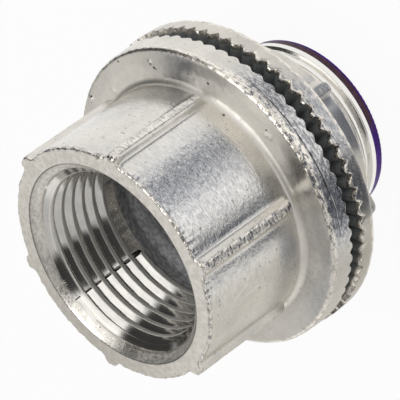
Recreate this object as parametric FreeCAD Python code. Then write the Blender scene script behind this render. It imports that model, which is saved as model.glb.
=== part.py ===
import FreeCAD, Part
import math
import os

from FreeCAD import Rotation, Vector

os.makedirs("parts", exist_ok=True)

# Watertight conduit hub, 3/4 inch trade size, die-cast zinc with a plastic throat.
# The hub stands on its plastic lip: z = 0 is the lip's face, +Z runs up the axis to
# the conduit end, and angles are counted from the rib that lies on +X.

# Lengths along the axis, from the lip up
lip_thickness = 1.5
nipple_length = 16.4
flange_thickness = 3.6
barrel_length = 17.2

# Barrel with its ribs
barrel_wall = 3.12
barrel_draft = 0.45
barrel_edge = 0.3
rib_count = 6
rib_height = 1.0
rib_top_width = 1.5
rib_foot_width = 3.0
rib_rounding = 0.5
rib_end_rounding = 0.8
rib_end_gap = 0.3
corner_fillet = 0.6

# Conduit thread, whose wall stands at the thread's major radius, and its stop
mouth_chamfer = 0.92
thread_major_radius = 13.28
thread_depth = 12.78
stop_recess_radius = 12.25
stop_recess_depth = 1.5
throat_radius = 10.4
throat_rounding = 1.4

# Flange with its ground teeth and the seal's groove
flange_width = 4.95
flange_draft = 0.15
flange_rounding = 0.6
flange_tooth_depth = 0.45
seal_land = 1.8
groove_width = 3.0
groove_depth = 2.1
groove_rim = 0.1

# Nipple, whose wall stands at its thread's major radius
nipple_radius = 13.2
nipple_chamfer = 0.15

# Throat bushing
bushing_bore_radius = 10.2
bushing_wall = 0.8
bushing_depth = 6.2
lip_radius = 12.95
lip_rounding = 0.15
bell_rounding = 0.9

# Sealing ring
ring_section_radius = 1.25

# Locknut, as it stands on the thread
nut_gap = 1.4
nut_overhang = 0.25
nut_disc_thickness = 2.6
nut_collar_wall = 2.3
nut_collar_draft = 0.3
nut_collar_length = 7.3
nut_recess_depth = 1.0
nut_tooth_depth = 0.85
nut_tooth_ring_width = 4.55
nut_edge = 0.15
nut_bore_chamfer = 0.6
lug_count = 6
lug_height = 1.4
lug_foot_width = 3.3
lug_top_width = 1.3
lug_rounding = 0.4
lug_setback = 0.6
lug_angle = 32.0

# Teeth of the flange and the nut, with the angle of one crest of each
tooth_count = 70
tooth_valley_share = 0.7
flange_tooth_angle = 0.4
nut_tooth_angle = 0.4

# Clearances
thread_clearance = 0.1
bushing_clearance = 0.02
seal_clearance = 0.02
cutter_reach = 0.3

# Heights that follow from the lengths
nipple_end = lip_thickness
panel_plane = nipple_end + nipple_length
flange_front = panel_plane + flange_thickness
conduit_face = flange_front + barrel_length
nut_crest = panel_plane - nut_gap
nut_disc_back = nut_crest - nut_disc_thickness
nut_back = nut_disc_back - nut_collar_length

# Radii that follow from the fits
bushing_seat_radius = bushing_bore_radius + bushing_wall + bushing_clearance
nut_bore_radius = nipple_radius + thread_clearance
nut_collar_radius = nut_bore_radius + nut_collar_wall
mouth_radius = thread_major_radius + mouth_chamfer
barrel_end_radius = thread_major_radius + barrel_wall
barrel_root_radius = barrel_end_radius + barrel_draft
flange_radius = barrel_root_radius + flange_width
nut_disc_radius = flange_radius + nut_overhang
groove_inner_radius = nipple_radius + seal_land
groove_radius = groove_inner_radius + groove_width / 2
tooth_ring_width = flange_radius - groove_inner_radius - groove_width - groove_rim


def unit(a, b):
    """Unit vector from point a to point b, both (u, v)."""
    length = math.hypot(b[0] - a[0], b[1] - a[1])
    return (b[0] - a[0]) / length, (b[1] - a[1]) / length


def rounded_face(corners, place):
    """Face inside a closed outline of (u, v, rounding) corners, laid out by place(u, v)."""
    spans = []
    for before, corner, after in zip(corners[-1:] + corners[:-1], corners, corners[1:] + corners[:1]):
        u, v, rounding = corner
        if not rounding:
            spans.append([place(u, v)])
            continue
        back = unit(corner, before)
        ahead = unit(corner, after)
        half_angle = math.acos(back[0] * ahead[0] + back[1] * ahead[1]) / 2
        reach = rounding / math.tan(half_angle)
        bisector = unit((0, 0), (back[0] + ahead[0], back[1] + ahead[1]))
        bulge = rounding / math.sin(half_angle) - rounding
        spans.append([
            place(u + back[0] * reach, v + back[1] * reach),
            place(u + bisector[0] * bulge, v + bisector[1] * bulge),
            place(u + ahead[0] * reach, v + ahead[1] * reach),
        ])
    edges = []
    for span, following in zip(spans, spans[1:] + spans[:1]):
        if len(span) > 1:
            edges.append(Part.Arc(*span).toShape())
        edges.append(Part.LineSegment(span[-1], following[0]).toShape())
    return Part.Face(Part.Wire(edges))


def turned(corners):
    """Solid of revolution about Z from (radius, height, rounding) corners."""
    face = rounded_face(corners, lambda radius, height: Vector(radius, 0, height))
    return face.revolve(Vector(0, 0, 0), Vector(0, 0, 1), 360)


def around(shape, count, first_angle):
    """Copies of a shape made at angle 0, evenly spaced about Z."""
    copies = []
    for index in range(count):
        copy = shape.copy()
        copy.rotate(Vector(0, 0, 0), Vector(0, 0, 1), first_angle + index * 360 / count)
        copies.append(copy)
    return copies


def bar_section(inner_radius, outer_radius, foot_width, top_width, rounding, height):
    """Section of a rib or lug at angle 0, in the level plane at this height."""
    corners = [
        (inner_radius, -foot_width / 2, 0),
        (outer_radius, -top_width / 2, rounding),
        (outer_radius, top_width / 2, rounding),
        (inner_radius, foot_width / 2, 0),
    ]
    return rounded_face(corners, lambda radius, side: Vector(radius, side, height))


def tooth_cutters(radius, depth, ring_width, face_height, into, first_crest):
    """V cutters between radial teeth, as deep as stated at this outer radius.

    They shrink towards the axis with the pitch, and into is the sign of the cut along Z.
    """
    half_valley = math.pi * radius * tooth_valley_share / tooth_count
    lift = 1 + cutter_reach / depth
    ends = []
    for at in (radius - ring_width - cutter_reach, radius + cutter_reach):
        share = at / radius
        bottom = Vector(at, 0, face_height + into * depth * share)
        top = face_height - into * cutter_reach * share
        side = half_valley * lift * share
        ends.append(Part.makePolygon([bottom, Vector(at, side, top), Vector(at, -side, top), bottom]))
    cutter = Part.makeLoft(ends, True, True)
    return around(cutter, tooth_count, first_crest + 180 / tooth_count)


def hub_body():
    """The casting: ribbed barrel, flange and nipple, bored right through."""
    blank = turned([
        (0, nipple_end, 0),
        (nipple_radius - nipple_chamfer, nipple_end, 0),
        (nipple_radius, nipple_end + nipple_chamfer, 0),
        (nipple_radius, panel_plane, 0),
        (groove_inner_radius, panel_plane, 0),
        (groove_inner_radius, panel_plane + groove_depth, 0),
        (groove_radius + groove_width / 2, panel_plane + groove_depth, 0),
        (groove_radius + groove_width / 2, panel_plane, 0),
        (flange_radius, panel_plane, 0),
        (flange_radius - flange_draft, flange_front, flange_rounding),
        (barrel_root_radius, flange_front, 0),
        (barrel_end_radius, conduit_face, barrel_edge),
        (0, conduit_face, 0),
    ])
    teeth = tooth_cutters(flange_radius, flange_tooth_depth, tooth_ring_width,
                          panel_plane, 1, flange_tooth_angle)
    blank = blank.cut(teeth)
    body = blank.fuse(around(rib(), rib_count, 0)).removeSplitter()
    body = fillet_barrel_foot(body)
    return body.cut(conduit_bore())


def rib():
    """One rib at angle 0, with a rounded end that stops short of the barrel's foot fillet."""
    section = bar_section(barrel_end_radius - rib_height, barrel_end_radius + rib_height,
                          rib_foot_width, rib_top_width, rib_rounding, conduit_face)
    bar = section.extrude(Vector(barrel_draft, 0, -barrel_length))
    rib_end = flange_front + corner_fillet + rib_end_gap
    limit = turned([
        (0, rib_end, 0),
        (barrel_root_radius + rib_height, rib_end, rib_end_rounding),
        (barrel_root_radius + rib_height, conduit_face + cutter_reach, 0),
        (0, conduit_face + cutter_reach, 0),
    ])
    return bar.common(limit)


def fillet_barrel_foot(body):
    """Round the corner where the barrel meets the flange."""
    reach = barrel_root_radius + cutter_reach
    foot = []
    for edge in body.Edges:
        box = edge.BoundBox
        level = max(abs(box.ZMin - flange_front), abs(box.ZMax - flange_front))
        widest = max(vertex.Point.distanceToLine(Vector(0, 0, 0), Vector(0, 0, 1)) for vertex in edge.Vertexes)
        if level < 1e-3 and widest < reach:
            foot.append(edge)
    return body.makeFillet(corner_fillet, foot)


def conduit_bore():
    """The hole down the axis: mouth, thread, conduit stop, throat and bushing seat."""
    thread_top = conduit_face - mouth_chamfer
    thread_end = thread_top - thread_depth
    stop = thread_end - stop_recess_depth
    seat = nipple_end + bushing_depth
    return turned([
        (0, nipple_end - cutter_reach, 0),
        (bushing_seat_radius, nipple_end - cutter_reach, 0),
        (bushing_seat_radius, seat, 0),
        (throat_radius, seat, 0),
        (throat_radius, stop, throat_rounding),
        (stop_recess_radius, stop, 0),
        (stop_recess_radius, thread_end, 0),
        (thread_major_radius, thread_end, 0),
        (thread_major_radius, thread_top, 0),
        (mouth_radius, conduit_face, 0),
        (mouth_radius, conduit_face + cutter_reach, 0),
        (0, conduit_face + cutter_reach, 0),
    ])


def throat_bushing():
    """Plastic insulator: a sleeve in the nipple with a lip over its end."""
    sleeve_radius = bushing_seat_radius - bushing_clearance
    return turned([
        (bushing_bore_radius, 0, bell_rounding),
        (lip_radius, 0, lip_rounding),
        (lip_radius, lip_thickness - bushing_clearance, 0),
        (sleeve_radius, lip_thickness - bushing_clearance, 0),
        (sleeve_radius, nipple_end + bushing_depth - bushing_clearance, 0),
        (bushing_bore_radius, nipple_end + bushing_depth - bushing_clearance, 0),
    ])


def sealing_ring():
    """Rubber ring in the flange's groove, standing a little proud of the teeth."""
    height = panel_plane + groove_depth - seal_clearance - ring_section_radius
    return Part.makeTorus(groove_radius, ring_section_radius, Vector(0, 0, height))


def locknut():
    """Toothed disc with a lugged collar, running on the nipple's thread."""
    collar_root_radius = nut_collar_radius + nut_collar_draft
    recess_radius = nut_disc_radius - nut_tooth_ring_width
    body = turned([
        (nut_bore_radius, nut_back + nut_bore_chamfer, 0),
        (nut_bore_radius + nut_bore_chamfer, nut_back, 0),
        (nut_collar_radius, nut_back, nut_edge),
        (collar_root_radius, nut_disc_back, nut_edge),
        (nut_disc_radius, nut_disc_back, nut_edge),
        (nut_disc_radius, nut_crest, 0),
        (recess_radius, nut_crest, 0),
        (recess_radius, nut_crest - nut_recess_depth, 0),
        (nut_bore_radius + nut_bore_chamfer, nut_crest - nut_recess_depth, 0),
        (nut_bore_radius, nut_crest - nut_recess_depth - nut_bore_chamfer, 0),
    ])
    teeth = tooth_cutters(nut_disc_radius, nut_tooth_depth, nut_tooth_ring_width,
                          nut_crest, -1, nut_tooth_angle)
    section = bar_section(nut_bore_radius + nut_bore_chamfer, nut_collar_radius + lug_height,
                          lug_foot_width, lug_top_width, lug_rounding, nut_back + lug_setback)
    lug = section.extrude(Vector(0, 0, nut_disc_back + nut_edge - nut_back - lug_setback))
    return body.cut(teeth).fuse(around(lug, lug_count, lug_angle)).removeSplitter()


pieces = {
    "hub_body": hub_body(),
    "throat_bushing": throat_bushing(),
    "sealing_ring": sealing_ring(),
    "locknut": locknut(),
}
for name, shape in pieces.items():
    solid = shape.Solids[0] if len(shape.Solids) == 1 else shape
    print(name, "solids", len(shape.Solids), "valid", shape.isValid(), "volume", round(shape.Volume, 1))
    solid.exportStep("parts/" + name + ".step")
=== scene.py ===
import math

import bpy
import numpy as np
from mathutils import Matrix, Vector

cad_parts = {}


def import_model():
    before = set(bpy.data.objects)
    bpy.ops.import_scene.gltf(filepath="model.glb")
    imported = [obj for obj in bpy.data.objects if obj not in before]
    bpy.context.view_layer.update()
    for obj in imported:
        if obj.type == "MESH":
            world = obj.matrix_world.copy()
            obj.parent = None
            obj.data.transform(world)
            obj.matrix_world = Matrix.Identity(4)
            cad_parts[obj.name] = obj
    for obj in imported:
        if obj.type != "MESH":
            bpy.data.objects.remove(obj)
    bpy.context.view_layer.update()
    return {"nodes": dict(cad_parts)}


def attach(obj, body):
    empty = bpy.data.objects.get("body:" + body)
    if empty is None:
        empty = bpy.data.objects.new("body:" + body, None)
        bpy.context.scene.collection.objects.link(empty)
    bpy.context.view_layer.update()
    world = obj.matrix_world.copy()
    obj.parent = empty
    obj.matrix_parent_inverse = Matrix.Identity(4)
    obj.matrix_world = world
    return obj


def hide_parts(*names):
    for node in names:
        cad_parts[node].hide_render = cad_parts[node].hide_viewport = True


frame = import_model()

# Lengths in mm, as in the part's source: z = 0 is the lip's face, +z runs to the conduit end
MM = 0.001

# The hub's heights and radii, from the nipple's end to the mouth
NIPPLE_END = 1.5
PANEL = 17.9
FLANGE_FRONT = 21.5
STOP = 23.5
THREAD_END = 25.0
FACE = 38.7
NIPPLE_R = 13.2
FLANGE_R = 21.8
BARREL_ROOT_R = 16.85
BARREL_END_R = 16.4
MOUTH_R = 14.2
THROAT_R = 10.4
THROAT_TOP = 22.1

# Roundings of the hub's edges, and the draft of the flange's rim over its height
FLANGE_ROUNDING = 0.6
REAR_ROUNDING = 0.16
BARREL_FOOT = 0.85
END_ROUNDING = 0.28
THROAT_ROUNDING = 1.4
RIM_DRAFT = 0.15
RIM_HEIGHT = 3

# Six ribs on the barrel; the section gives distances from a rib's middle and shares of its height
RIBS = 6
RIB_HEIGHT = 1.0
RIB_END = 22.4
RIB_END_ROUNDING = 0.8
RIB_SECTION = ([0, 0.42, 0.6, 0.74, 0.88, 1.0, 1.14, 1.3, 1.5, 1.75],
               [1.0, 0.985, 0.93, 0.8, 0.55, 0.33, 0.17, 0.075, 0.02, 0])

# Threads
PITCH = 1.8143
TAPER = 1 / 32
THREAD_ROOT_R = 12.95
NIPPLE_ROOT_R = 12.78
THREAD_TOP = FACE - (MOUTH_R - THREAD_ROOT_R)
THREAD_STEPS = 240

# Locknut
NUT_BACK = 6.6
NUT_DISC_BACK = 13.9
NUT_CREST = 16.5
NUT_R = 22.05
NUT_CHAMFER_R = 13.95
COLLAR_R = 15.75
COLLAR_BACK_R = 15.6
COLLAR_FOOT_R = 15.9
COLLAR_FOOT = 0.5
NUT_ROUNDING = 0.15

# Lugs: the first one's angle in degrees, the radians on each side in which columns make room for a
# section, and the heights between which they rise from nothing to full at their back end
LUGS = 6
LUG_ANGLE = 30.6
LUG_REACH = 0.26
LUG_END = 6.85
LUG_FULL = 8.0

# Distances along the collar from a lug's middle, and rises; one flank is gentle, the other steep
LUG_SECTION = ([-2.2, -1.0, -0.78, -0.62, -0.5, -0.4, 0.0, 0.3, 0.5, 0.7, 1.0, 1.4, 1.8, 2.05, 2.3, 2.6],
               [0, 0, 0.16, 0.7, 1.5, 1.95, 2.1, 2.1, 2.04, 1.88, 1.5, 0.95, 0.42, 0.16, 0.03, 0])

# Radial teeth, as many on the flange's back as on the locknut
TEETH = 70
FIRST_CREST = math.radians(0.4)
HUB_TOOTH_DEPTH = 0.45
NUT_TOOTH_DEPTH = 0.85


# Seeded gradient noise on numpy arrays
_rng = np.random.default_rng(11)
_slopes = _rng.normal(size=(256, 3))
_slopes /= np.linalg.norm(_slopes, axis=1)[:, None]
_order = _rng.permutation(256)
SEED_SHIFT = 17.3
NOISE_GAIN = 1.6


def noise(points, blob, seed=0):
    """Smooth noise of about -1 to 1 at points in mm; blob is the size of one blob in mm."""
    shape = points.shape[:-1]
    p = points.reshape(-1, 3) / blob + seed * SEED_SHIFT
    cell = np.floor(p).astype(int)
    inside = p - cell
    fade = inside ** 3 * (inside * (inside * 6 - 15) + 10)
    total = np.zeros(len(p))
    for corner in range(8):
        offset = np.array([corner >> 2 & 1, corner >> 1 & 1, corner & 1])
        c = (cell + offset) & 255
        pick = _order[(_order[(_order[c[:, 0]] + c[:, 1]) & 255] + c[:, 2]) & 255]
        weight = np.prod(np.where(offset, fade, 1 - fade), axis=1)
        total += weight * np.einsum("ij,ij->i", _slopes[pick], inside - offset)
    return (total * NOISE_GAIN).reshape(shape)


def smooth(low, high, value):
    """0 below low, 1 above high, smooth between; the other way round where low is above high."""
    t = np.clip((value - low) / (high - low), 0, 1)
    return t * t * (3 - 2 * t)


def hump(value, centre, reach, flat=0):
    """1 within flat of the centre, falling smoothly to 0 at this reach."""
    return smooth(reach, flat, np.abs(value - centre))


def humps(value, *terms):
    """Sum of humps, each given by its height, centre and reach."""
    return sum(height * hump(value, centre, reach) for height, centre, reach in terms)


def wrapped(angle):
    """Angle brought to -pi..pi."""
    return (angle + math.pi) % (2 * math.pi) - math.pi


def polar(angle, radius, height):
    """Point from an angle in degrees, a radius and a height."""
    a = math.radians(angle)
    return np.array([radius * math.cos(a), radius * math.sin(a), height])


def rounding(radius, turns):
    """Along a quarter rounding, at these turns in degrees: its sine and its drop, both in mm."""
    turns = np.radians(turns)
    return zip(radius * np.sin(turns), radius * (1 - np.cos(turns)))


def grid_faces(rows, columns, closed_rows=True, closed_columns=True):
    """Quads of a grid of points given row after row, joined end to end where it is closed."""
    i = np.arange(rows if closed_rows else rows - 1)[:, None]
    j = np.arange(columns if closed_columns else columns - 1)[None, :]
    below, after = (i + 1) % rows, (j + 1) % columns
    corners = [i * columns + j, below * columns + j, below * columns + after, i * columns + after]
    return np.stack(corners, axis=-1).reshape(-1, 4)


def point_normals(points, faces):
    """Unit normals at the points of a quad mesh."""
    a, b, c, d = (points[faces[:, k]] for k in range(4))
    across = np.cross(c - a, d - b)
    normals = np.zeros_like(points)
    for k in range(4):
        np.add.at(normals, faces[:, k], across)
    return normals / np.maximum(np.linalg.norm(normals, axis=1), 1e-12)[:, None]


def mesh_object(name, points, faces, attributes, sharp=None, caps=()):
    """Smooth-shaded mesh object from points in mm, with float attributes on its points."""
    mesh = bpy.data.meshes.new(name)
    mesh.from_pydata((points * MM).tolist(), [], faces.tolist() + list(caps), shade_flat=False)
    mesh.validate()
    for key, values in attributes.items():
        layer = mesh.attributes.new(key, "FLOAT", "POINT")
        layer.data.foreach_set("value", np.asarray(values, np.float32).ravel())
    if sharp:
        mesh.set_sharp_from_angle(angle=math.radians(sharp))
    piece = bpy.data.objects.new(name, mesh)
    bpy.context.scene.collection.objects.link(piece)
    return piece


class Rows:
    """Rows of points round the axis, gathered one after another round a closed section."""

    def __init__(self, angle):
        self.angle = angle
        self.rows = []
        self.tags = []

    def add(self, radius, height, tag, angle=None):
        """One row; radius and height are a number, or one value for each column."""
        columns = np.zeros(len(self.angle))
        self.rows.append((columns + radius, columns + height, self.angle if angle is None else angle))
        self.tags.append(tag)

    def trace(self, profile, tag):
        """A row for each radius and height of a profile."""
        for radius, height in profile:
            self.add(radius, height, tag)

    def join(self):
        """Points, quads and unit normals of the closed mesh."""
        radius, height, angle = (np.array(part) for part in zip(*self.rows))
        points = np.stack([radius * np.cos(angle), radius * np.sin(angle), height], axis=-1)
        points, faces = points.reshape(-1, 3), grid_faces(*radius.shape)
        return points, faces, point_normals(points, faces)

    def turn(self):
        """Each point's place round the axis, -180 to 180 degrees."""
        return np.degrees(wrapped(np.tile(self.angle, len(self.rows))))

    def by_tag(self, amounts):
        """Each point's amount by its row's tag, 0 where none is given."""
        return np.repeat([amounts.get(tag, 0) for tag in self.tags], len(self.angle))

    def on(self, *tags):
        """Whether each point's row has one of these tags."""
        return np.repeat(np.isin(self.tags, tags), len(self.angle))


def tooth_valley(angle, share, softness):
    """0 on the crests and 1 at the valleys' bottoms of the radial teeth."""
    along = ((angle - FIRST_CREST) * TEETH / (2 * math.pi)) % 1
    wall = np.clip(1 - np.abs(along - 0.5) / (share / 2), 0, 1)
    return wall * (1 - softness) + softness * smooth(0, 1, wall)


def tooth_columns(steps):
    """Column angles that repeat these steps of one tooth, each from 0 at a crest to 1."""
    tooth = np.arange(TEETH)[:, None]
    return (FIRST_CREST + (tooth + np.array(steps)[None, :]) * 2 * math.pi / TEETH).ravel()


# Hub body

# Rows of the flange's rim: height, and step from its face in tenths of a mm where the crack is open
CRACK_STEP = -1.3
RIM_ROWS = ((20.6, 0), (20.3, 0), (20.08, 0), (19.98, -0.1), (19.92, CRACK_STEP), (19.84, CRACK_STEP),
            (19.78, 0.3), (19.7, 0.2), (19.5, 0), (19.1, 0))
REAR_RADII = (21.4, 20.8, 20.2, 19.5, 18.8, 18.1)

# Radius and height, from the flange's back through the seal's groove, round the nipple and up the bore
GROOVE = ((18.0, 18.2), (18.0, 19.0), (18.0, 19.95), (17.95, 20.0), (16.5, 20.0), (15.05, 20.0),
          (15.0, 19.95), (15.0, 19.0), (15.0, 17.95), (14.95, PANEL), (13.6, PANEL), (12.2, PANEL),
          (NIPPLE_ROOT_R, 17.8))
NIPPLE = ((NIPPLE_ROOT_R, 12.0), (NIPPLE_ROOT_R, 7.0), (NIPPLE_ROOT_R, 4.5), (NIPPLE_ROOT_R, 3.1),
          (12.7, 2.8), (13.1, 2.5), (NIPPLE_R, 2.38), (NIPPLE_R, 2.1), (NIPPLE_R, 1.8), (NIPPLE_R, 1.62),
          (13.1, NIPPLE_END))
BUSHING_SEAT = ((12.0, NIPPLE_END), (11.5, NIPPLE_END), (11.05, NIPPLE_END), (11.02, 1.6), (11.02, 4.5),
                (11.02, 7.65), (10.97, 7.7), (10.45, 7.7), (THROAT_R, 7.75))
CONDUIT_STOP = ((12.0, STOP), (12.22, STOP + 0.03), (12.25, 23.8), (12.25, 24.4), (12.25, 24.95),
                (12.3, THREAD_END), (12.5, THREAD_END + 0.02))

# How far the cast surface wanders, and how far its worn edges do, in mm by kind of row
HUB_WAVES = {"wall": 0.010, "front": 0.012, "front_edge": 0.02, "rim": 0.012, "crack": 0.012,
             "rear_edge": 0.03, "rear": 0.015, "end": 0.012, "end_edge": 0.02, "foot": 0.01,
             "throat": 0.03, "chamfer": 0.006, "nipple": 0.004}
HUB_EDGE_WEAR = {"front_edge": 0.05, "rear_edge": 0.06, "end_edge": 0.05, "rim": 0.02}

# Casting lumps and chips: angle in degrees, radius, height, size and rise in mm; the tallest get a painted
# highlight
BEAD_RISE = 0.45
HUB_LUMPS = [(-31.4, 18.76, 21.5, 0.3, 0.22), (-33.0, 19.1, 21.5, 0.24, 0.2), (28.1, 19.74, 21.5, 0.3, 0.2),
             (58.1, 18.31, 21.5, 0.4, 0.2), (72.2, 20.56, 21.5, 0.45, 0.3), (-1.9, 17.0, 38.4, 0.5, 0.6),
             (6.3, 16.45, 38.6, 0.42, 0.6), (1.6, 17.2, 38.5, 0.3, -0.75), (-6.0, 17.0, 38.0, 0.25, -0.4),
             (2.4, 17.2, 38.1, 0.2, -0.35), (-56.0, 17.3, 38.5, 0.35, 0.3), (-66.0, 17.3, 38.5, 0.3, -0.3),
             (-62.0, 17.4, 31.0, 0.3, 0.15), (170.0, 16.8, 30.0, 0.4, -0.2), (-140.0, 19.5, 21.5, 0.3, 0.2)]

# Small pits, painted dark as shade: angle in degrees, radius, height and size in mm
HUB_PITS = [(-1.0, 18.95, 21.5, 0.2), (-12.9, 16.85, 22.4, 0.2), (-30.2, 19.35, 21.5, 0.16),
            (-32.4, 18.9, 21.5, 0.13), (28.6, 19.9, 21.5, 0.17), (28.0, 19.55, 21.5, 0.2),
            (27.0, 18.95, 21.5, 0.2), (26.2, 18.75, 21.5, 0.14), (9.0, 19.0, 21.5, 0.12),
            (71.0, 20.7, 21.5, 0.22), (73.4, 20.4, 21.5, 0.18), (45.0, 20.9, 21.5, 0.16),
            (30.0, 17.0, 38.5, 0.14), (1.4, 17.1, 38.5, 0.3), (-4.8, 16.9, 38.5, 0.16),
            (110.0, 16.8, 26.0, 0.2), (-90.0, 16.5, 37.6, 0.1)]

# Bright scratches, from one angle, radius and height to another
HUB_SCRATCHES = [((-84.1, 16.52, 34.2), (-80.4, 16.58, 31.8)), ((-86.4, 16.56, 32.4), (-85.1, 16.63, 30.1)),
                 ((-35.8, 16.77, 24.5), (-43.1, 16.77, 24.7))]


def rib_distance(angle):
    """Distance along the barrel from the middle of the nearest rib, in mm."""
    return np.abs(wrapped(angle * RIBS) / RIBS) * BARREL_ROOT_R


def rib_rise(angle, z=FACE):
    """Height of the ribs over the barrel, in mm, at these angles and heights."""
    drop = np.clip((RIB_END + RIB_END_ROUNDING - z) / RIB_END_ROUNDING, 0, 1)
    keep = np.sqrt(1 - drop ** 2)
    return RIB_HEIGHT * keep * np.interp(rib_distance(angle) + 0.4 * (1 - keep), *RIB_SECTION)


def barrel_wall(z):
    """Radius of the drafted barrel between its ribs."""
    return BARREL_END_R + (BARREL_ROOT_R - BARREL_END_R) * (FACE - z) / (FACE - FLANGE_FRONT)


def hub_rows():
    """Rows of the hub casting, from the end face over the flange and round the nipple into the bore."""
    angle = tooth_columns(np.arange(8) / 8)
    rows = Rows(angle)
    ring = np.stack([np.cos(angle) * 17, np.sin(angle) * 17, angle * 0 + FACE], axis=-1)
    chips = np.minimum(0.10 * noise(ring, 1.1, 1) + 0.15 * noise(ring, 0.42, 2), 0.03)

    end_r = BARREL_END_R - END_ROUNDING + rib_rise(angle) + chips
    inner = MOUTH_R + 0.12
    for share in np.linspace(0, 1, 8):
        rows.add(inner + (end_r - inner) * share, FACE, "end")
    for sine, drop in rounding(END_ROUNDING, [25, 50, 75]):
        rows.add(end_r + sine, FACE - drop, "end_edge")
    top = FACE - END_ROUNDING - 0.05
    for z in np.concatenate([np.linspace(top, 23.5, 47), np.linspace(23.3, FLANGE_FRONT + BARREL_FOOT, 9)]):
        rows.add(barrel_wall(z) + rib_rise(angle, z) + chips * np.exp((z - top) * 1.8), z, "wall")
    foot_r = barrel_wall(FLANGE_FRONT + BARREL_FOOT)
    for sine, drop in rounding(BARREL_FOOT, [14, 28, 42, 56, 70, 84]):
        rows.add(foot_r + drop, FLANGE_FRONT + BARREL_FOOT - sine, "foot")

    inner = foot_r + BARREL_FOOT
    outer = FLANGE_R - RIM_DRAFT - FLANGE_ROUNDING
    for share in np.linspace(0, 1, 15):
        rows.add(inner + (outer - inner) * share, FLANGE_FRONT, "front")
    for sine, drop in rounding(FLANGE_ROUNDING, [22, 44, 66, 88]):
        rows.add(outer + sine, FLANGE_FRONT - drop, "front_edge")
    crack = hump(np.degrees(wrapped(angle)), -44, 32) ** 0.3 * (0.7 + 0.5 * noise(ring, 1.5, 17))
    wander = 0.12 * noise(ring, 2.0, 18)
    for z, step in RIM_ROWS:
        rows.add(FLANGE_R - RIM_DRAFT * (z - PANEL) / RIM_HEIGHT + 0.1 * step * crack, z + wander,
                 "crack" if step == CRACK_STEP else "rim")
    valley = HUB_TOOTH_DEPTH * tooth_valley(angle, 0.8, 0.8)
    rim_low = PANEL + valley + REAR_ROUNDING
    last_rim = RIM_ROWS[-1][0]
    for share in (0.35, 0.7, 1):
        rows.add(FLANGE_R - 0.03, last_rim + (rim_low - last_rim) * share, "rim")
    for sine, drop in rounding(REAR_ROUNDING, [30, 60, 90]):
        rows.add(FLANGE_R - drop, rim_low - sine, "rear_edge")
    for r in REAR_RADII:
        rows.add(r, PANEL + valley * r / FLANGE_R, "rear")

    rows.trace(GROOVE, "inside")
    rows.trace(NIPPLE, "nipple")
    rows.trace(BUSHING_SEAT, "inside")
    for z in np.linspace(8.5, THROAT_TOP, 6):
        rows.add(THROAT_R, z, "throat")
    for sine, drop in rounding(THROAT_ROUNDING, [15, 30, 45, 60, 75, 90]):
        rows.add(THROAT_R + drop, THROAT_TOP + sine, "throat")
    rows.trace(CONDUIT_STOP, "throat")
    for z in np.linspace(THREAD_END + 0.1, THREAD_TOP, 4):
        rows.add(female_wall(z), z, "bore")
    for share in (0.3, 0.6, 0.88):
        chamfer_r = THREAD_ROOT_R + (MOUTH_R - THREAD_ROOT_R) * share
        rows.add(chamfer_r, THREAD_TOP + (FACE - THREAD_TOP) * share, "chamfer")
    rows.add(MOUTH_R + 0.02, FACE - 0.05, "chamfer")
    return rows


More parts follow.
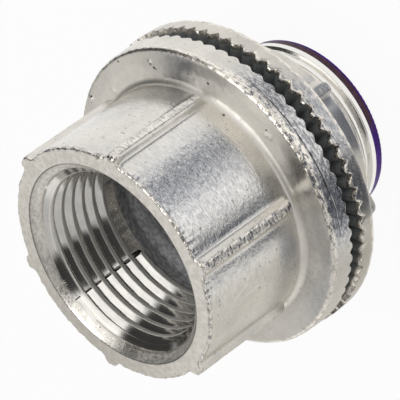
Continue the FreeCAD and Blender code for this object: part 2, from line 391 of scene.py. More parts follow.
def build_hub():
    """The hub casting, and which of its faces, the throat and inside, take the darker zinc painted with
    shade.
    """
    rows = hub_rows()
    points, faces, normals = rows.join()
    angle = rows.turn()
    on = rows.on
    z = points[:, 2]
    wall, front, front_edge, rim = on("wall"), on("front"), on("front_edge"), on("rim", "crack")

    # Worn ribs, and the hammered skin of the panels between them
    rise = rib_rise(np.radians(angle), z) / RIB_HEIGHT
    rib_wear = np.where(np.abs(angle) < 20, 0.4, np.where(np.abs(angle + 60) < 20, 1, 0.5))
    rib_top = smooth(0.66, 0.5, rib_distance(np.radians(angle))) * (rise > 0.6) * wall * rib_wear
    panel = wall * (1 - smooth(0.02, 0.1, rise)) * smooth(FLANGE_FRONT + 2.2, FLANGE_FRONT + 4.2, z)
    hammer = panel * np.maximum(hump(angle, -31, 25) ** 0.5, 0.25 + 0.25 * noise(points, 9, 12))

    # Moves along the normals
    shift = rows.by_tag(HUB_WAVES) * (noise(points, 2.6, 3) + 0.6 * noise(points, 1.2, 4))
    shift += hammer * 0.022 * noise(points * np.array([0.6, 0.6, 1.1]), 0.8, 13)
    shift += rib_top * (0.05 * noise(points, 0.7, 5) + 0.06 * noise(points, 0.4, 6))
    shift += rows.by_tag(HUB_EDGE_WEAR) * (noise(points, 0.9, 7) + 0.9 * noise(points, 0.42, 8))
    shift += on("throat") * 0.06 * noise(points, 0.9, 9)
    # Lumps taller than the bead rise get the bright rubbed tone as a painted highlight
    bead_highlights = np.zeros(len(points))
    for *place, size, height in HUB_LUMPS:
        near = np.exp(-(np.linalg.norm(points - polar(*place), axis=1) / size) ** 2)
        shift += height * near
        bead_highlights = np.maximum(bead_highlights, near * (height > BEAD_RISE))
    points = points + normals * shift[:, None]

    # Rough glittering skin with painted glints and painted shade in its hollows, and edges rubbed bright
    rough_side = hump(angle, -44, 40, 26)
    patches = smooth(0.3, 0.6, noise(points, 9, 15)) * 0.5 * (np.abs(angle) > 70)
    sparkle = np.maximum.reduce([
        rib_top,
        rim * np.maximum(0.6 * rough_side, patches),
        front_edge * (0.3 + 0.6 * rough_side),
        on("end_edge") * 0.8 + on("rear_edge") * 0.6 * rough_side,
        wall * smooth(38.0, 38.35, z) * 0.6,
        on("chamfer") * 0.25])
    rubbed = np.maximum.reduce([
        front_edge * (0.25 + 0.75 * hump(angle, -26, 48, 34)),
        rim * smooth(20.05, 20.35, z) * hump(angle, -28, 28, 16),
        on("end_edge") * (0.4 + 0.6 * hump(angle, -36, 34, 24)),
        rib_top * 0.6,
        bead_highlights])

    # Haze on the flange's front, the barrel's foot and the mouth's chamfer: rougher, and with a painted pale
    # sheen
    haze_and_sheen = 0.35 + 0.5 * noise(points, 5.0, 14)
    haze_and_sheen += humps(angle, (0.1, -18, 18), (0.4, 92, 40), (0.4, 50, 22), (-0.6, -50, 20), (-0.6, 12, 18),
                  (-0.3, -88, 40))
    from_axis = np.hypot(points[:, 0], points[:, 1])
    near_foot = smooth(20.2, 18.6, from_axis) * (0.5 + 0.5 * hump(angle, -20, 40))
    haze_and_sheen = np.clip(haze_and_sheen + near_foot, 0, 1) * front
    haze_and_sheen += (0.35 + 0.3 * hump(angle, -20, 40)) * on("foot")
    from_corner = np.abs(wrapped(np.radians(angle - 165)))
    haze_and_sheen += (on("chamfer") * (0.45 + humps(angle, (0.35, -135, 45), (0.4, 50, 40)))
             * smooth(24, 38, np.degrees(from_corner)))

    # Painted shade, blue-grey: dark reflections painted on the flange, in one panel and on the rim, and
    # painted shade at the barrel's foot
    painted_shade = front * humps(angle, (0.9, 12, 20), (0.45, -10, 12), (0.45, -50, 18), (0.8, -95, 55))
    painted_shade += hammer * humps(angle, (0.6, -18, 14), (0.5, -30, 12))
    painted_shade += hammer * 0.9 * hump(angle, -56, 8) * (angle > -60)
    painted_shade += rim * (rough_side * 0.8 + 0.35 * hump(angle, -86, 34))
    painted_shade += wall * 0.7 * hump(angle, 22, 16) * smooth(26.5, 23.5, z)
    painted_shade += wall * 0.9 * hump(angle, -79, 15) * smooth(26.3, 25, z) * smooth(22.2, 23.2, z)

    # Painted shade: a dark line in the crack round the rim, and along the corner between mouth and end face
    crack = on("crack") * hump(angle, -44, 34, 26) * smooth(-0.5, -0.1, noise(points, 1.6, 19))
    corner = on("chamfer") * smooth(FACE - 0.2, FACE - 0.04, z)
    masks = {"sparkle": sparkle, "rubbed": rubbed, "haze_and_sheen": haze_and_sheen, "painted_shade": np.clip(painted_shade, 0, 1),
             "crack": np.maximum(crack, corner * 0.8), "hammer": hammer, "dull": on("end"),
             "patina": on("end") * hump(from_corner, 0, 1.7), "inner_shade": on("throat", "inside"),
             "polish": on("nipple")}
    piece = mesh_object("hub_casting_body", points, faces, masks, sharp=60)
    return piece, on("throat", "inside")[faces].all(axis=1)


# Threads

# Along one flank of a ridge, from outside its foot to the middle of its crest: painted highlight along the
# crest's edge, and crest
FLANK_HIGHLIGHT = [0, 0, 0, 0, 0.1, 0.8, 1, 0.3, 0]
FLANK_CREST = [0, 0, 0, 0, 0.1, 0.6, 1, 1, 1]


def female_wall(z):
    """Root radius of the tapered conduit thread."""
    return THREAD_ROOT_R - (THREAD_TOP - z) * TAPER


def female_clamp(radius, z):
    """Keep the ridge outside the mouth's chamfer cone and the plain band behind the thread."""
    cone = MOUTH_R - (FACE - z) + 0.04 * smooth(FACE - 1.0, FACE - 0.85, z)
    radius = np.maximum(radius, cone)
    return np.where(z < THREAD_END, np.maximum(radius, 12.3), radius)


def male_wall(z):
    """Root radius of the straight nipple thread."""
    return NIPPLE_ROOT_R + 0 * z


def male_clamp(radius, z):
    """Keep the ridge inside the nipple's end chamfer."""
    return np.minimum(radius, NIPPLE_R - 0.15 + (z - NIPPLE_END))


def flank(half_width, crest_half):
    """One flank of a ridge's section, from outside its foot to mid-crest: distances and rises."""
    side = np.array([half_width + 0.02, half_width, half_width - 0.07, 0.5 * (crest_half + half_width),
                     crest_half + 0.08, crest_half + 0.03, crest_half, crest_half * 0.7, 0.0])
    rise = np.clip((half_width - side) / (half_width - crest_half), 0, 1)
    rise[0], rise[-2:] = -0.12, 1.0
    rise[2], rise[5], rise[6] = rise[2] * 0.8, rise[5] * 0.985, 0.985
    return side, rise


def section(lower, upper):
    """A ridge's whole section from its two flanks, which share the middle of the crest."""
    return np.concatenate([lower[:-1], upper[::-1]])


def seam_marks(angle, seam):
    """Along a ridge: the slit at each crossing of the seam, the step past it, the pocket before all."""
    if seam is None:
        return np.zeros((3, len(angle)))
    off = wrapped(angle - seam)
    slit = np.clip(1.6 - np.abs(off) / math.radians(0.4), 0, 1)
    step = smooth(0, math.radians(0.6), -off) * (1 - smooth(2.2, 3.0, -off))
    return np.array([slit, step, angle < seam - math.radians(0.1)])


def build_thread(name, wall, clamp, height, half_widths, crest_half, span, phase, inward, seed, fade_turns,
                 seam=None):
    """One helical ridge; at the seam angle its outer flank steps over a narrow slit."""
    start, end = span
    turns = (end - start) / PITCH
    angle = np.linspace(phase, phase + 2 * math.pi * turns, int(turns * THREAD_STEPS) + 1)
    if seam is not None:
        crossings = seam + 2 * math.pi * np.arange(int(turns) + 1)
        extra = (crossings[:, None] + np.radians([-0.8, -0.5, -0.15, 0.15, 0.5, 0.8])).ravel()
        angle = np.sort(np.concatenate([angle, extra[(extra > angle[0]) & (extra < angle[-1])]]))
    along = (angle - phase) / (2 * math.pi * turns)
    centre = start + (end - start) * along
    fade_in, fade_out = fade_turns
    fade = np.minimum(smooth(0, fade_in, along * turns), smooth(0, fade_out, (1 - along) * turns))
    crest_line = np.stack([np.cos(angle) * 13, np.sin(angle) * 13, centre], axis=-1)
    wear = 0.02 * noise(crest_line, 1.3, seed) + 0.015 * noise(crest_line, 0.5, seed + 1)

    # From here on the ridge's length runs down and its section across
    angle, centre, fade, wear, slit, step, pocket = (
        values[:, None] for values in (angle, centre, fade, wear, *seam_marks(angle, seam)))
    (low_side, low_rise), (high_side, high_rise) = (flank(half, crest_half) for half in half_widths)
    side, rise = section(-low_side, high_side), section(low_rise, high_rise)
    raised = np.clip(rise, 0, 1)
    outer_flank = (rise > 0.02) & (side > crest_half * 1.05)
    cut = np.maximum(slit * outer_flank, 1.6 * pocket * raised)
    up = height * np.where(rise > 0, rise * fade, rise)
    up = up + wear * raised ** 2 - 0.2 * cut - 0.03 * step * raised
    z = np.clip(centre + side + 0.08 * step * raised, NIPPLE_END, FACE - 0.1)
    radius = clamp(wall(z) + (-1 if inward else 1) * up, z)
    points = np.stack([radius * np.cos(angle), radius * np.sin(angle), z], axis=-1).reshape(-1, 3)
    stations, across = z.shape
    faces = grid_faces(stations, across, closed_rows=False)
    caps = [list(range(across)), list(range((stations - 1) * across, stations * across))[::-1]]
    if not inward:
        faces = faces[:, ::-1]
        caps = [cap[::-1] for cap in caps]
    topped = section(FLANK_CREST, FLANK_CREST) * smooth(0.6, 0.9, np.abs(radius - wall(z)) / height)
    masks = {"edge_highlight": fade * section(FLANK_HIGHLIGHT, FLANK_HIGHLIGHT), "crest": topped, "slit": np.clip(cut, 0, 1)}
    return mesh_object(name, points, faces, masks, sharp=50, caps=caps)


# Locknut

# Steps of one tooth, heights of the collar's rows, radii of the teeth's rows
NUT_STEPS = [0.13, 0.165, 0.30, 0.465, 0.535, 0.70, 0.835, 0.87]
COLLAR_HEIGHTS = (6.8, 6.86, 6.9, 6.98, 7.1, 7.3, 7.5, 7.75, 8.0,
                  *np.linspace(8.4, NUT_DISC_BACK - COLLAR_FOOT, 12))
TEETH_RADII = (21.3, 20.6, 19.9, 19.2, 18.5, 17.9, 17.6)
RECESS_EDGE_R = 17.5

# Radius and height: the bore's chamfer at the back, and the recess, front chamfer and bore
BACK_CHAMFER = ((13.35, NUT_BACK + 0.55), (13.6, NUT_BACK + 0.3), (13.86, NUT_BACK + 0.04),
                (NUT_CHAMFER_R, NUT_BACK))
NUT_INSIDE = ((17.45, 15.55), (17.35, 15.5), (16.0, 15.5), (14.5, 15.5), (NUT_CHAMFER_R, 15.5),
              (13.6, 15.2), (13.34, 14.9), (13.3, 14.0), (13.3, 11.5), (13.3, 9.5), (13.3, 7.8), (13.3, 7.25))

# How far the nut's surface wanders, in mm by kind of row
NUT_WAVES = {"back": 0.01, "back_edge": 0.02, "collar": 0.015, "corner": 0.01, "disc_back": 0.02,
             "disc_edge": 0.03, "rim": 0.025, "brink": 0.05, "teeth": 0.02, "recess": 0.01}


def lug_columns(tooth_angle):
    """The teeth's columns moved so that the nearest ones to each lug follow its section."""
    lug_angle = tooth_angle.copy()
    pins = np.array(LUG_SECTION[0]) / COLLAR_R
    for lug in range(LUGS):
        centre = math.radians(LUG_ANGLE + 360 / LUGS * lug)
        off = wrapped(tooth_angle - centre)
        near = np.argsort(np.abs(off))[:len(pins)]
        near = near[np.argsort(off[near])]
        lug_angle[near] = centre + pins
        others = (np.abs(off) < LUG_REACH) & ~np.isin(np.arange(len(off)), near)
        for beyond, last, pin, way in ((others & (off < 0), off[near[0]], pins[0], -1),
                                       (others & (off > 0), off[near[-1]], pins[-1], 1)):
            reach, gap = way * LUG_REACH, way * 0.01
            squeeze = (pin + gap - reach) / (last + gap - reach)
            lug_angle[beyond] = centre + reach + (off[beyond] - reach) * squeeze
    return lug_angle


def build_nut():
    """The locknut casting, and which of its faces are teeth or recess."""
    tooth_angle = tooth_columns(NUT_STEPS)
    lug_angle = lug_columns(tooth_angle)
    lug_side = wrapped((lug_angle - math.radians(LUG_ANGLE)) * LUGS) / LUGS * COLLAR_R
    rise = np.interp(lug_side, *LUG_SECTION)
    rows = Rows(tooth_angle)

    def add(radius, height, tag, lug_share=0.0):
        """A row with its columns this far from the teeth's places towards the lugs' places."""
        rows.add(radius, height, tag, tooth_angle + wrapped(lug_angle - tooth_angle) * lug_share)

    # Back, collar with its lugs, and the disc's back
    for r, z in BACK_CHAMFER:
        add(r, z, "bore", 1)
    end_r = COLLAR_BACK_R - NUT_ROUNDING
    for share in (0.35, 0.7, 1):
        add(NUT_CHAMFER_R + (end_r - NUT_CHAMFER_R) * share, NUT_BACK, "back", 1)
    for sine, drop in rounding(NUT_ROUNDING, [30, 60, 90]):
        add(end_r + sine, NUT_BACK + drop, "back_edge", 1)
    for z in COLLAR_HEIGHTS:
        drop = min(max((LUG_FULL - z) / (LUG_FULL - LUG_END), 0), 1)
        draft = (COLLAR_FOOT_R - COLLAR_BACK_R) * (z - NUT_BACK) / (NUT_DISC_BACK - NUT_BACK)
        add(COLLAR_BACK_R + draft + rise * math.sqrt(1 - drop ** 2), z, "collar", 1)
    for sine, drop in rounding(COLLAR_FOOT, [25, 50, 75, 90]):
        add(COLLAR_FOOT_R + rise + drop, NUT_DISC_BACK - COLLAR_FOOT + sine, "corner", 1)
    inner = COLLAR_FOOT_R + rise + COLLAR_FOOT
    outer = NUT_R - NUT_ROUNDING
    for share in (0.12, 0.25, 0.4, 0.55, 0.7, 0.85, 1):
        add(inner + (outer - inner) * share, NUT_DISC_BACK, "disc_back", 1 - share)
    for sine, drop in rounding(NUT_ROUNDING, [22, 45, 67, 90]):
        add(outer + sine, NUT_DISC_BACK + drop, "disc_edge")

    # Toothed rim, teeth, recess and bore
    valley = NUT_TOOTH_DEPTH * tooth_valley(tooth_angle, 0.76, 0.25)
    brink = NUT_CREST - valley - 0.12
    for share in (0.25, 0.5, 0.75, 1):
        add(NUT_R, NUT_DISC_BACK + NUT_ROUNDING + (brink - NUT_DISC_BACK - NUT_ROUNDING) * share, "rim")
    add(NUT_R - 0.035, brink + 0.085, "brink")
    add(NUT_R - 0.12, brink + 0.12, "brink")
    for r in TEETH_RADII:
        add(r, NUT_CREST - valley * r / NUT_R, "teeth")
    add(RECESS_EDGE_R, NUT_CREST - valley * RECESS_EDGE_R / NUT_R - 0.1, "recess")
    for r, z in NUT_INSIDE:
        add(r, z, "recess" if r >= NUT_CHAMFER_R else "bore", 0.0 if z > 14.5 else (14.9 - z) / 7.65)

    points, faces, normals = rows.join()
    turn = rows.turn()
    on = rows.on
    shift = rows.by_tag(NUT_WAVES) * (noise(points, 2.2, 21) + 0.8 * noise(points, 0.7, 22))
    points = points + normals * shift[:, None]

    # The photograph's shaded side, the chipped brink and the lugs' tops
    dark_side = hump(turn, -46, 32, 18)
    worn = hump(turn, -42, 48, 32)
    below_brink = np.arange(len(rows.tags)) == rows.tags.index("brink") - 1
    lip = np.repeat(below_brink, len(tooth_angle)) * worn
    from_axis = np.hypot(points[:, 0], points[:, 1])
    lug_rise = np.tile(rise, len(rows.tags))
    lug = on("collar") * smooth(0.15, 0.5, lug_rise)
    lug_top = on("collar") * smooth(1.55, 1.85, lug_rise) * smooth(16.9, 17.2, from_axis)
    # Painted shade on the shaded side: its rim and collar get more dark specks and a blue-grey tone
    shaded = on("rim", "collar") * dark_side * (1 - lug)
    sparkle = on("brink") * (0.6 + 0.4 * dark_side) + on("rim") * dark_side * 0.3 + 0.5 * lip
    # Painted shade on the lugs' tops and deep in the teeth, and a painted pale sheen on the lugs' flanks
    masks = {"sparkle": np.clip(sparkle, 0, 1), "speck_shade": shaded, "inner_shade": on("bore"),
             "rubbed": on("disc_edge", "back_edge") * 0.9 + on("brink") * (0.4 + 0.6 * worn) + 0.9 * lip,
             "painted_shade": np.clip(shaded * (0.5 + 0.5 * hump(turn, -38, 22)) + 0.7 * lug_top, 0, 1),
             "patina": 2 * on("rim", "collar") * hump(turn, -82, 30) ** 0.5,
             "crack": on("teeth") * smooth(21.2, 18.5, from_axis) * 0.45,
             "haze_and_sheen": 0.8 * lug * (1 - lug_top), "lug_top_shade": lug_top * 0.8}
    piece = mesh_object("locknut_casting", points, faces, masks, sharp=38)
    return piece, on("teeth", "recess")[faces].all(axis=1)


# Materials

# Tones laid over the zinc
GLINT = (1.0, 0.98, 0.94)
RUBBED = (1.0, 0.94, 0.85)
HAMMERED = (0.80, 0.795, 0.79)
# Painted glints and painted shade of the hammered skin's ripples
HAMMER_GLINT = (1.0, 1.0, 0.99)
HAMMER_SHADE = (0.40, 0.41, 0.45)
# Painted shade and painted dark reflections, blue-grey
PAINTED_SHADE_TONE = (0.40, 0.415, 0.455)
# Painted pale sheen
PAINTED_SHEEN = (0.95, 0.93, 0.89)
DULL_DARK, DULL_LIGHT = (0.82, 0.79, 0.735), (0.99, 0.96, 0.91)
PATINA = (0.52, 0.49, 0.43)
POLISHED = (0.90, 0.88, 0.84)
SPECK = (0.26, 0.265, 0.28)
# Painted shade in blowholes and in the rough skin's hollows
BLOWHOLE_SHADE = (0.16, 0.16, 0.16)
HOLLOW_SHADE = (0.13, 0.14, 0.17)
# Painted shade on the lugs' tops
LUG_TOP_SHADE = (0.13, 0.14, 0.16)
THROAT_DARK, THROAT_LIGHT = (0.27, 0.27, 0.28), (0.50, 0.50, 0.51)
# Painted shade in pits and slits
PIT_SHADE = (0.04, 0.04, 0.04)
# Painted shade in cracks, corners and gaps
GAP_SHADE = (0.03, 0.03, 0.03)
THREAD_RUN = (0.42, 0.41, 0.40)
THREAD_CREST = (0.46, 0.455, 0.44)


class Graph:
    """Short hand for the nodes of a material or world."""

    def __init__(self, owner, empty=False):
        owner.use_nodes = True
        self.tree = owner.node_tree
        if empty:
            self.tree.nodes.clear()
        else:
            self.shader = self.tree.nodes["Principled BSDF"]
            self.coords = self.node("ShaderNodeTexCoord").outputs["Object"]

    def node(self, kind, **settings):
        """A node with these properties and inputs set, each by its own name."""
        made = self.tree.nodes.new(kind)
        for key, value in settings.items():
            if hasattr(made, key):
                setattr(made, key, value)
            else:
                made.inputs[key].default_value = value
        return made

    def feed(self, value, socket):
        """Link another node's output to a socket, or set the socket to a value."""
        if isinstance(value, bpy.types.NodeSocket):
            self.tree.links.new(value, socket)
        else:
            socket.default_value = value

    def math(self, operation, a, b):
        made = self.node("ShaderNodeMath", operation=operation)
        self.feed(a, made.inputs[0])
        self.feed(b, made.inputs[1])
        return made.outputs[0]

    def vector(self, operation, *values):
        """Vector operation; a dot product or a distance gives a number."""
        made = self.node("ShaderNodeVectorMath", operation=operation)
        for value, socket in zip(values, made.inputs):
            self.feed(value, socket)
        return made.outputs["Value" if operation in ("DOT_PRODUCT", "DISTANCE") else "Vector"]

    def noise(self, blob, detail=3.0, rough=0.5, stretch=(1, 1, 1)):
        """Noise from 0 to 1; blob is the size of one blob in mm, drawn out by stretch along each axis."""
        texture = self.node("ShaderNodeTexNoise", Detail=detail, Roughness=rough, Scale=1 / (blob * MM))
        self.feed(self.vector("DIVIDE", self.coords, stretch), texture.inputs["Vector"])
        return texture.outputs["Fac"]

    def ramp(self, value, low, high, out_low=0.0, out_high=1.0):
        """Smooth step from one value at low to another at high."""
        made = self.node("ShaderNodeMapRange", interpolation_type="SMOOTHSTEP",
                         **{"From Min": low, "From Max": high, "To Min": out_low, "To Max": out_high})
        self.feed(value, made.inputs["Value"])
        return made.outputs["Result"]

    def mix(self, share, a, b):
        """Colour that goes from a to b as the share goes from 0 to 1."""
        made = self.node("ShaderNodeMix", data_type="RGBA")
        for value, index in ((share, 0), (a, 6), (b, 7)):
            self.feed((*value, 1) if isinstance(value, tuple) else value, made.inputs[index])
        return made.outputs[2]

    def paint(self, base, mask, share, tone):
        """A tone laid over the base colour where the mask is, by this share."""
        return self.mix(self.math("MULTIPLY", mask, share), base, tone)

    def attribute(self, name):
        return self.node("ShaderNodeAttribute", attribute_name=name).outputs["Fac"]

    def bump(self, height, rise, before=None):
        """Bump from a 0 to 1 height that stands for rise mm."""
        made = self.node("ShaderNodeBump", Strength=1.0, Distance=rise * MM)
        self.feed(height, made.inputs["Height"])
        if before is not None:
            self.feed(before, made.inputs["Normal"])
        return made.outputs["Normal"]

    def blend(self, share, first, second, output):
        """Mix two shader nodes by this share into an output node of this kind."""
        mixed = self.node("ShaderNodeMixShader")
        for value, socket in zip((share, first.outputs[0], second.outputs[0]), mixed.inputs):
            self.feed(value, socket)
        self.feed(mixed.outputs[0], self.node(output).inputs[0])


def casting(name, light, shade, roughness, metallic=1.0, pits=(), scratches=()):
    """As-cast zinc alloy: satin skin with ripples, fine grain, pits and rough worn edges."""
    material = bpy.data.materials.new(name)
    g = Graph(material)
    sparkle, dull, inner_shade = g.attribute("sparkle"), g.attribute("dull"), g.attribute("inner_shade")
    hammer, haze_and_sheen, patina = g.attribute("hammer"), g.attribute("haze_and_sheen"), g.attribute("patina")
    painted_shade, polish, lug_top_shade = g.attribute("painted_shade"), g.attribute("polish"), g.attribute("lug_top_shade")
    speck_shade, rubbed, crack = g.attribute("speck_shade"), g.attribute("rubbed"), g.attribute("crack")
    grain = g.noise(0.16, 4, 0.65)
    ripple = g.noise(1.0, 3, 0.5)
    patch = g.noise(4.0, 4, 0.6)
    bits = g.noise(0.42, 4, 0.65, (1.9, 1.9, 0.8))
    glints = g.noise(0.26, 2, 0.5, (2.4, 2.4, 0.7))
    streaks = g.noise(0.3, 3, 0.55, (1.5, 1.5, 9))
    wrinkle = g.noise(0.36, 3, 0.6, (2.3, 2.3, 0.9))
    holes = g.ramp(g.noise(0.5, 1, 0.4), 0.72, 0.78)
    sheen_and_haze = g.math("MULTIPLY", haze_and_sheen, g.ramp(bits, 0.3, 0.6, 0.6, 1.0))

    # Colour: the plain skin, then its stains and marks one over another
    base = g.mix(g.ramp(patch, 0.35, 0.7, 0.0, 0.7), light, shade)
    base = g.mix(g.ramp(streaks, 0.4, 0.7, 0.0, 0.25), base, shade)
    base = g.paint(base, hammer, 0.8, HAMMERED)
    # Painted shade in the ripples' dents and painted glints on their crests
    base = g.paint(base, hammer, g.ramp(wrinkle, 0.5, 0.4, 0.0, 0.55), HAMMER_SHADE)
    base = g.paint(base, hammer, g.ramp(wrinkle, 0.56, 0.64, 0.0, 0.9), HAMMER_GLINT)
    # Painted shade: a blue-grey tone for dark reflections and shade
    base = g.paint(base, painted_shade, g.ramp(bits, 0.3, 0.7, 0.95, 0.5), PAINTED_SHADE_TONE)
    # Dark grain specks, stronger where the shaded side gets more of them as painted shade
    base = g.paint(base, g.ramp(grain, 0.48, 0.32, 0.0, 0.35), g.ramp(speck_shade, 0, 1, 0.5, 2.2), SPECK)
    # Painted shade in blowholes
    base = g.paint(base, holes, 0.6, BLOWHOLE_SHADE)
    # Painted pale sheen where the surface is hazy; the haze also makes it rougher below
    base = g.paint(base, sheen_and_haze, 0.8, PAINTED_SHEEN)
    base = g.mix(dull, base, g.mix(g.ramp(bits, 0.35, 0.65), DULL_DARK, DULL_LIGHT))
    base = g.paint(base, patina, 0.5, PATINA)
    base = g.mix(polish, base, POLISHED)
    # Painted shade in the rough skin's hollows, and painted glints on its peaks
    hollow_shade = g.math("MULTIPLY", g.ramp(bits, 0.52, 0.43), sparkle)
    painted_glint = g.math("MAXIMUM", g.ramp(bits, 0.55, 0.6), g.ramp(glints, 0.6, 0.65))
    painted_glint = g.math("MULTIPLY", painted_glint, sparkle)
    base = g.paint(base, hollow_shade, 0.9, HOLLOW_SHADE)
    base = g.paint(base, painted_glint, 0.95, GLINT)
    base = g.paint(base, rubbed, g.ramp(bits, 0.43, 0.52, 0.0, 1.0), RUBBED)
    # Painted shade on the lugs' tops
    base = g.paint(base, lug_top_shade, g.ramp(bits, 0.4, 0.6, 0.95, 0.4), LUG_TOP_SHADE)
    # Painted shade in the crack, along the mouth's corner and deep in the teeth
    base = g.mix(crack, base, GAP_SHADE)
    # Painted shade inside the bore, throat and hollows
    base = g.paint(base, inner_shade, 0.95, g.mix(g.ramp(bits, 0.4, 0.62), THROAT_DARK, THROAT_LIGHT))
    # Painted shade in the pits
    for *place, size in pits:
        mark = g.ramp(g.vector("DISTANCE", g.coords, polar(*place) * MM), size * 1.1 * MM, size * 0.7 * MM)
        base = g.paint(base, mark, 0.9, PIT_SHADE)
    for start, end in scratches:
        start, run = polar(*start) * MM, (polar(*end) - polar(*start)) * MM
        along = g.vector("DOT_PRODUCT", g.vector("SUBTRACT", g.coords, start), run / (run @ run))
        foot = g.vector("MULTIPLY_ADD", g.math("MINIMUM", g.math("MAXIMUM", along, 0), 1), run, start)
        near = g.ramp(g.vector("DISTANCE", g.coords, foot), 0.09 * MM, 0.04 * MM, 0.0, 0.8)
        base = g.mix(near, base, GLINT)

    rough = g.ramp(patch, 0.3, 0.7, roughness - 0.02, roughness + 0.03)
    rough = g.math("ADD", rough, g.ramp(grain, 0.3, 0.8, -0.03, 0.06))
    rough = g.math("SUBTRACT", rough, g.math("MULTIPLY", g.math("MAXIMUM", hammer, polish), 0.15))
    rough = g.math("SUBTRACT", rough, g.math("MULTIPLY", sparkle, 0.05))
    for mask, more in ((sheen_and_haze, 0.4), (dull, 0.2), (inner_shade, 0.4)):
        rough = g.math("ADD", rough, g.math("MULTIPLY", mask, more))

    normal = g.bump(ripple, 0.025)
    normal = g.bump(grain, 0.008, normal)
    normal = g.bump(g.math("MULTIPLY", wrinkle, hammer), 0.13, normal)
    normal = g.bump(g.math("MULTIPLY", bits, g.math("MAXIMUM", sparkle, inner_shade)), 0.13, normal)
    normal = g.bump(holes, -0.02, normal)
    g.feed(base, g.shader.inputs["Base Color"])
    g.feed(rough, g.shader.inputs["Roughness"])
    g.feed(normal, g.shader.inputs["Normal"])
    g.feed(metallic, g.shader.inputs["Metallic"])
    return material


def cut_thread(name, light, shade, roughness, highlight_tone, lines=0.2, dull_crest=0.65):
    """Smooth thread flanks with fine runs along the thread and a painted highlight on the crest edges."""
    material = bpy.data.materials.new(name)
    g = Graph(material)
    edge_highlight, slit, crest = g.attribute("edge_highlight"), g.attribute("slit"), g.attribute("crest")
    grain = g.noise(0.2, 3, 0.6)
    runs = g.noise(0.22, 2, 0.5, (14, 14, 1))
    base = g.mix(g.ramp(g.noise(2.5, 3), 0.35, 0.7, 0.0, 0.8), light, shade)
    base = g.mix(g.ramp(runs, 0.45, 0.62, 0.0, lines), base, THREAD_RUN)
    base = g.paint(base, crest, dull_crest, THREAD_CREST)
    # Painted highlight along the crest edges
    base = g.paint(base, edge_highlight, g.ramp(grain, 0.3, 0.6, 0.4, 0.9), highlight_tone)
    # Painted shade in the slit
    base = g.mix(g.ramp(slit, 0.2, 0.9), base, PIT_SHADE)
    rough = g.ramp(grain, 0.3, 0.7, roughness - 0.03, roughness + 0.03)
    rough = g.math("ADD", rough, g.math("MULTIPLY", crest, 0.5 * dull_crest))
    g.feed(base, g.shader.inputs["Base Color"])
    g.feed(rough, g.shader.inputs["Roughness"])
    g.feed(g.bump(grain, 0.004, g.bump(runs, 0.006)), g.shader.inputs["Normal"])
    g.feed(g.ramp(crest, 0, 1, 1.0, 1.0 - dull_crest), g.shader.inputs["Metallic"])
    return material


def plastic(name):
    """Violet insulator, vivid round the lip's outer edge and dull brown-violet on part of its side."""
    material = bpy.data.materials.new(name)
    g = Graph(material)
    place = g.node("ShaderNodeSeparateXYZ")
    g.feed(g.coords, place.inputs[0])
    above_lip = g.ramp(place.outputs["Z"], 0.3 * MM, 0.5 * MM)
    facing = g.ramp(g.vector("DOT_PRODUCT", g.coords, polar(-12, 1, 0)), 7.5 * MM, 9.5 * MM)
    vivid = g.mix(g.ramp(g.noise(3.0, 2), 0.35, 0.65), (0.055, 0.005, 0.22), (0.085, 0.01, 0.33))
    worn = g.mix(g.ramp(g.noise(0.8, 3), 0.35, 0.65), (0.075, 0.035, 0.058), (0.115, 0.057, 0.085))
    g.feed(g.mix(g.math("MULTIPLY", above_lip, facing), vivid, worn), g.shader.inputs["Base Color"])
    g.feed(g.ramp(g.noise(0.4, 3), 0.3, 0.7, 0.3, 0.42), g.shader.inputs["Roughness"])
    g.feed(g.bump(g.noise(0.3, 3), 0.01), g.shader.inputs["Normal"])
    g.feed(0.15, g.shader.inputs["Specular IOR Level"])
    return material


def rubber(name):
    """Black rubber of the sealing ring."""
    material = bpy.data.materials.new(name)
    g = Graph(material)
    tint = g.mix(g.ramp(g.noise(1.5, 3), 0.35, 0.65), (0.012, 0.012, 0.012), (0.03, 0.03, 0.03))
    g.feed(tint, g.shader.inputs["Base Color"])
    g.feed(g.ramp(g.noise(0.5, 3), 0.3, 0.7, 0.55, 0.75), g.shader.inputs["Roughness"])
    g.feed(g.bump(g.noise(0.25, 3), 0.01), g.shader.inputs["Normal"])
    return material


def dress(piece, material, body, replaces=None):
    """Give a piece its material and its body, and hide the CAD node that it stands for."""
    piece.data.materials.append(material)
    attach(piece, body)
    if replaces:
        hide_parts(replaces)


def second_material(piece, material, where):
    """Put another material on the faces where this is true."""
    piece.data.materials.append(material)
    piece.data.polygons.foreach_set("material_index", where.astype(np.int32))


hub_metal = casting("zinc_hub", (0.82, 0.785, 0.725), (0.66, 0.64, 0.60), 0.28, pits=HUB_PITS,
                    scratches=HUB_SCRATCHES)
thread_metal = cut_thread("zinc_thread", (0.74, 0.73, 0.71), (0.62, 0.615, 0.60), 0.09, (0.95, 0.91, 0.82))
nipple_metal = cut_thread("zinc_nipple", (0.97, 0.955, 0.92), (0.88, 0.86, 0.82), 0.14, (0.9, 0.86, 0.78),
                          lines=0.95, dull_crest=0.2)
nut_metal = casting("zinc_nut", (0.74, 0.70, 0.635), (0.58, 0.56, 0.52), 0.30)
# Darker copies of the zinc, painted with shade: the teeth in the gap between flange and nut, and the throat
shaded_tooth_metal = casting("zinc_teeth_shade", (0.33, 0.35, 0.36), (0.23, 0.25, 0.26), 0.4, metallic=0.35)
shaded_throat_metal = casting("zinc_throat_shade", (0.30, 0.30, 0.31), (0.20, 0.20, 0.21), 0.5, metallic=0.2)

hub_casting, throat_faces = build_hub()
dress(hub_casting, hub_metal, "hub", "hub_body")
second_material(hub_casting, shaded_throat_metal, throat_faces)

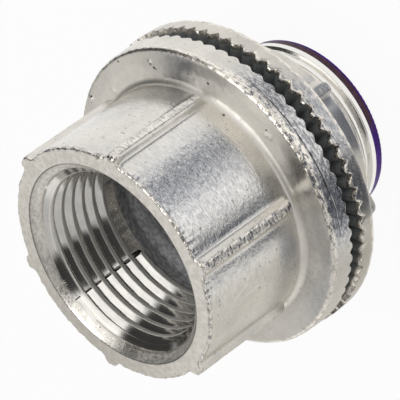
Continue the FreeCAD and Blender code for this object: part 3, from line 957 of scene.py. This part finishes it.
conduit_thread = build_thread(
    "conduit_thread", female_wall, female_clamp, height=0.91, half_widths=(0.43, 1.34), crest_half=0.26,
    span=(25.932, 39.0), phase=math.radians(143.8), inward=True, seed=31, fade_turns=(0.001, 0.2),
    seam=math.radians(147))
dress(conduit_thread, thread_metal, "hub")

nipple_thread = build_thread(
    "nipple_thread", male_wall, male_clamp, height=0.4, half_widths=(0.8, 0.8), crest_half=0.12,
    span=(2.7, 17.3), phase=0.0, inward=False, seed=41, fade_turns=(0.5, 0.2))
dress(nipple_thread, nipple_metal, "hub")

nut_casting, toothed_faces = build_nut()
dress(nut_casting, nut_metal, "nut", "locknut")
second_material(nut_casting, shaded_tooth_metal, toothed_faces)

for node, material in (("throat_bushing", plastic("violet_plastic")),
                       ("sealing_ring", rubber("black_rubber"))):
    slots = frame["nodes"][node].data.materials
    if slots:
        for index in range(len(slots)):
            slots[index] = material
    else:
        slots.append(material)


# Studio: pale floor, soft light, and the photograph's camera

FLOOR_HALF = 2.5
FLOOR_Z = -0.0002
FLOOR_SEEN = 0.94
CARD_ROWS, CARD_COLUMNS = 15, 25


def floor():
    """Pale floor that camera and mirror rays see nearly white."""
    material = bpy.data.materials.new("pale_floor")
    g = Graph(material, empty=True)
    path = g.node("ShaderNodeLightPath")
    straight = g.math("MAXIMUM", path.outputs["Is Camera Ray"], path.outputs["Is Glossy Ray"])
    seen = g.math("MULTIPLY", straight, FLOOR_SEEN)
    paint = g.node("ShaderNodeBsdfDiffuse", Color=(0.86, 0.86, 0.86, 1))
    g.blend(seen, paint, g.node("ShaderNodeEmission", Color=(1, 1, 1, 1)), "ShaderNodeOutputMaterial")
    mesh = bpy.data.meshes.new("studio_floor")
    corners = [(x * FLOOR_HALF, y * FLOOR_HALF, FLOOR_Z) for x, y in ((-1, -1), (1, -1), (1, 1), (-1, 1))]
    mesh.from_pydata(corners, [], [(0, 1, 2, 3)])
    mesh.materials.append(material)
    made = bpy.data.objects.new("studio_floor", mesh)
    bpy.context.scene.collection.objects.link(made)


def world(level, spots):
    """Grey studio with lighter and darker spots: (azimuth, elevation, reach, brightness, softness)."""
    made = bpy.data.worlds.new("studio")
    bpy.context.scene.world = made
    g = Graph(made, empty=True)
    direction = g.node("ShaderNodeTexCoord").outputs["Generated"]
    tone = level
    for azimuth, elevation, reach, brightness, softness in spots:
        a, e = math.radians(azimuth), math.radians(elevation)
        towards = math.cos(e) * math.cos(a), math.cos(e) * math.sin(a), math.sin(e)
        far, near = (math.cos(math.radians(reach + way * softness)) for way in (1, -1))
        share = g.ramp(g.vector("DOT_PRODUCT", direction, towards), far, near)
        mix = g.node("ShaderNodeMix")
        for value, socket in zip((share, tone, brightness), (mix.inputs[0], mix.inputs[2], mix.inputs[3])):
            g.feed(value, socket)
        tone = mix.outputs[0]
    path = g.node("ShaderNodeLightPath")
    studio = g.node("ShaderNodeBackground", Color=(1, 0.985, 0.96, 1))
    g.feed(tone, studio.inputs["Strength"])
    white = g.node("ShaderNodeBackground", Color=(1, 1, 1, 1))
    g.blend(path.outputs["Is Camera Ray"], studio, white, "ShaderNodeOutputWorld")


def card(name, low, high, near, far, tone, fade, height=0.3):
    """Card over the floor between two azimuths (degrees) and two radii (mm), only for mirror rays.

    Its cover grows from its edges inwards, over fade's degrees round and millimetres out."""
    def cover_along(count, length, reach):
        steps = np.arange(count)
        return smooth(0, 1, np.minimum(steps, steps[::-1]) / (count - 1) * length / reach)

    angle = np.radians(np.linspace(low, high, CARD_COLUMNS))
    radius = np.linspace(near, far, CARD_ROWS)[:, None]
    z = np.full((CARD_ROWS, CARD_COLUMNS), height)
    points = np.stack([radius * np.cos(angle), radius * np.sin(angle), z], axis=-1).reshape(-1, 3)
    faces = grid_faces(CARD_ROWS, CARD_COLUMNS, closed_rows=False, closed_columns=False)
    cover = (cover_along(CARD_COLUMNS, high - low, fade[0])[None, :]
             * cover_along(CARD_ROWS, far - near, fade[1])[:, None])
    made = mesh_object(name, points, faces, {"cover": cover})
    material = bpy.data.materials.new(name)
    g = Graph(material, empty=True)
    clear = g.node("ShaderNodeBsdfTransparent")
    glow = g.node("ShaderNodeEmission", Color=(*tone, 1))
    g.blend(g.attribute("cover"), clear, glow, "ShaderNodeOutputMaterial")
    made.data.materials.append(material)
    made.visible_camera = False
    made.visible_diffuse = False
    made.visible_shadow = False


floor()
world(0.62, [(90, 26, 27, 0.2, 10), (7, 48, 27, 1.3, 3), (74, 20, 31, 0.05, 5), (-62, 46, 22, 0.05, 5),
             (180, 8, 22, 1.0, 8), (118, 0, 11, 0.4, 4), (-130, 76, 13, 0.15, 5)])
card("card_left", -98, -55, 26, 120, (0.09, 0.10, 0.125), (9, 8))
card("card_low", -74, -34, 15, 30, (0.20, 0.21, 0.24), (8, 5), height=0.4)
card("card_right", -29, 2, 44, 120, (0.20, 0.215, 0.25), (6, 6))
card("card_back", -200, -97, 22, 200, (0.68, 0.665, 0.63), (16, 9))

softbox = bpy.data.lights.new("top_softbox", "AREA")
softbox.shape = "RECTANGLE"
softbox.size = softbox.size_y = 0.21
softbox.energy = 0.5
lamp = bpy.data.objects.new("top_softbox", softbox)
lamp.location = (0.094, 0.094, 0.534)
lamp.rotation_euler = (Vector(lamp.location) - Vector((0, 0, 0.02))).to_track_quat("Z", "Y").to_euler()
bpy.context.scene.collection.objects.link(lamp)

camera = bpy.data.cameras.new("camera")
camera.sensor_width = 36
camera.lens = 162
camera.clip_start = 0.01
eye = bpy.data.objects.new("camera", camera)
eye.location = (0.150047, -0.114256, 0.157880)
eye.rotation_euler = (-0.676994, 0.720977, -1.534977)
bpy.context.scene.collection.objects.link(eye)
bpy.context.scene.camera = eye

bpy.context.scene.view_settings.view_transform = "Standard"
